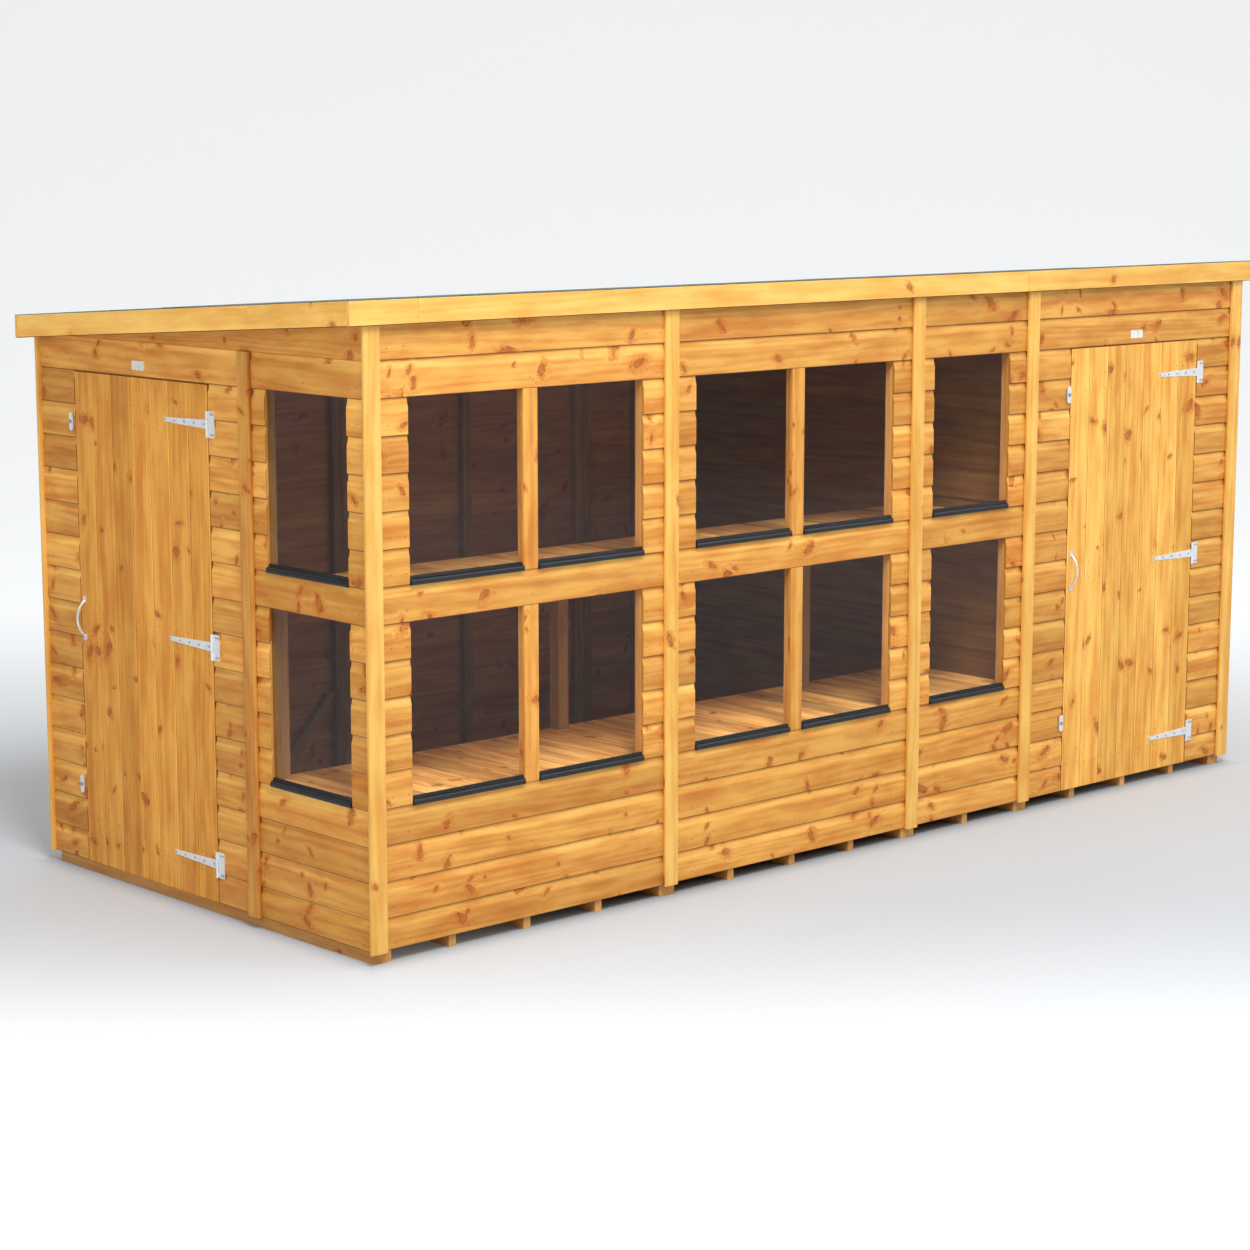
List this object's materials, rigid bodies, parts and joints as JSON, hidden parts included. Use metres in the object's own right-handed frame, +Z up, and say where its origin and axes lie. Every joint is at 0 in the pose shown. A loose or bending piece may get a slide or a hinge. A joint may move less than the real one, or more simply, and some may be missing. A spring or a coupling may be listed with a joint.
{
  "type": "potting shed",
  "caption": "Timber potting shed with a one-way sloping roof, shiplap walls, a glazed front over a potting bench, a hinged side door and a side store with its own door.",
  "frame": {"origin": "on the ground under the middle of the overall box", "axes": "+Z up, +X along the length to the right seen from the front, front wall faces -Y"},
  "size_m": [4.438, 1.848, 2.0007],
  "materials": {
    "shiplap_timber": "dip-treated honey gold",
    "trim_timber": "planed, dip-treated",
    "door_timber": "planed, dip-treated",
    "bench_timber": "planed, untreated",
    "frame_timber": "sawn, dip-treated",
    "window_glass": "clear",
    "sill_plastic": "slate black, ribbed",
    "zinc_hardware": "zinc plated",
    "roof_felt": "mineral roofing felt",
    "blank_plate": "white, blank"
  },
  "bodies": {
    "shed": {"back_cladding": "shiplap_timber", "back_fascia": "trim_timber", "back_frame": "frame_timber", "bench_legs": "bench_timber", "bench_rails": "bench_timber", "blank_plates": "blank_plate", "button_pivots": "zinc_hardware", "corner_trims": "trim_timber", "cross_cladding": "shiplap_timber", "cross_frame": "frame_timber", "cross_wedge": "shiplap_timber", "drip_sills": "sill_plastic", "floor_boards": "frame_timber", "floor_joists": "frame_timber", "front_cladding_1": "shiplap_timber", "front_cladding_2": "shiplap_timber", "front_cladding_3": "shiplap_timber", "front_door_cladding": "shiplap_timber", "front_door_frame": "frame_timber", "front_fascia": "trim_timber", "front_frame_1": "frame_timber", "front_frame_2": "frame_timber", "front_frame_3": "frame_timber", "front_panes": "window_glass", "hinge_pins": "zinc_hardware", "hinge_plate_screws": "zinc_hardware", "hinge_plates": "zinc_hardware", "joint_strips": "trim_timber", "left_door_cladding": "shiplap_timber", "left_door_frame": "frame_timber", "left_fascia": "trim_timber", "left_panes": "window_glass", "left_wedge": "shiplap_timber", "left_window_cladding": "shiplap_timber", "left_window_frame": "frame_timber", "lower_shelf_boards": "bench_timber", "mullion_strips": "trim_timber", "rafters": "frame_timber", "right_cladding": "shiplap_timber", "right_fascia": "trim_timber", "right_frame": "frame_timber", "right_wedge": "shiplap_timber", "roof_boards": "frame_timber", "roof_felt": "roof_felt", "work_top_boards": "bench_timber"},
    "left_door": {"left_door_boards": "door_timber", "left_door_ledges": "door_timber", "left_door_straps": "zinc_hardware", "left_door_strap_screws": "zinc_hardware", "left_door_handle": "zinc_hardware"},
    "front_door": {"front_door_boards": "door_timber", "front_door_ledges": "door_timber", "front_door_straps": "zinc_hardware", "front_door_strap_screws": "zinc_hardware", "front_door_handle": "zinc_hardware"},
    "left_door_button_lower": {"left_door_button_lower": "zinc_hardware"},
    "left_door_button_upper": {"left_door_button_upper": "zinc_hardware"},
    "front_door_button_lower": {"front_door_button_lower": "zinc_hardware"},
    "front_door_button_upper": {"front_door_button_upper": "zinc_hardware"}
  },
  "joints": [
    {"name": "left_door_hinge", "type": "hinge", "parent": "shed", "child": "left_door", "pos_m": [-2.1488, -0.084, 0.873], "axis": [0, 0, 1], "range_deg": [0, 150]},
    {"name": "front_door_hinge", "type": "hinge", "parent": "shed", "child": "front_door", "pos_m": [1.895, -0.8938, 0.873], "axis": [0, 0, 1], "range_deg": [0, 150]},
    {"name": "left_button_lower_turn", "type": "hinge", "parent": "shed", "child": "left_door_button_lower", "pos_m": [-2.1498, 0.704, 0.303], "axis": [-1, 0, 0], "range_deg": [0, 90]},
    {"name": "front_button_lower_turn", "type": "hinge", "parent": "shed", "child": "front_door_button_lower", "pos_m": [1.107, -0.8948, 0.303], "axis": [0, -1, 0], "range_deg": [0, 90]},
    {"name": "left_button_upper_turn", "type": "hinge", "parent": "shed", "child": "left_door_button_upper", "pos_m": [-2.1498, 0.704, 1.536], "axis": [-1, 0, 0], "range_deg": [0, 90]},
    {"name": "front_button_upper_turn", "type": "hinge", "parent": "shed", "child": "front_door_button_upper", "pos_m": [1.107, -0.8948, 1.536], "axis": [0, -1, 0], "range_deg": [0, 90]}
  ]
}
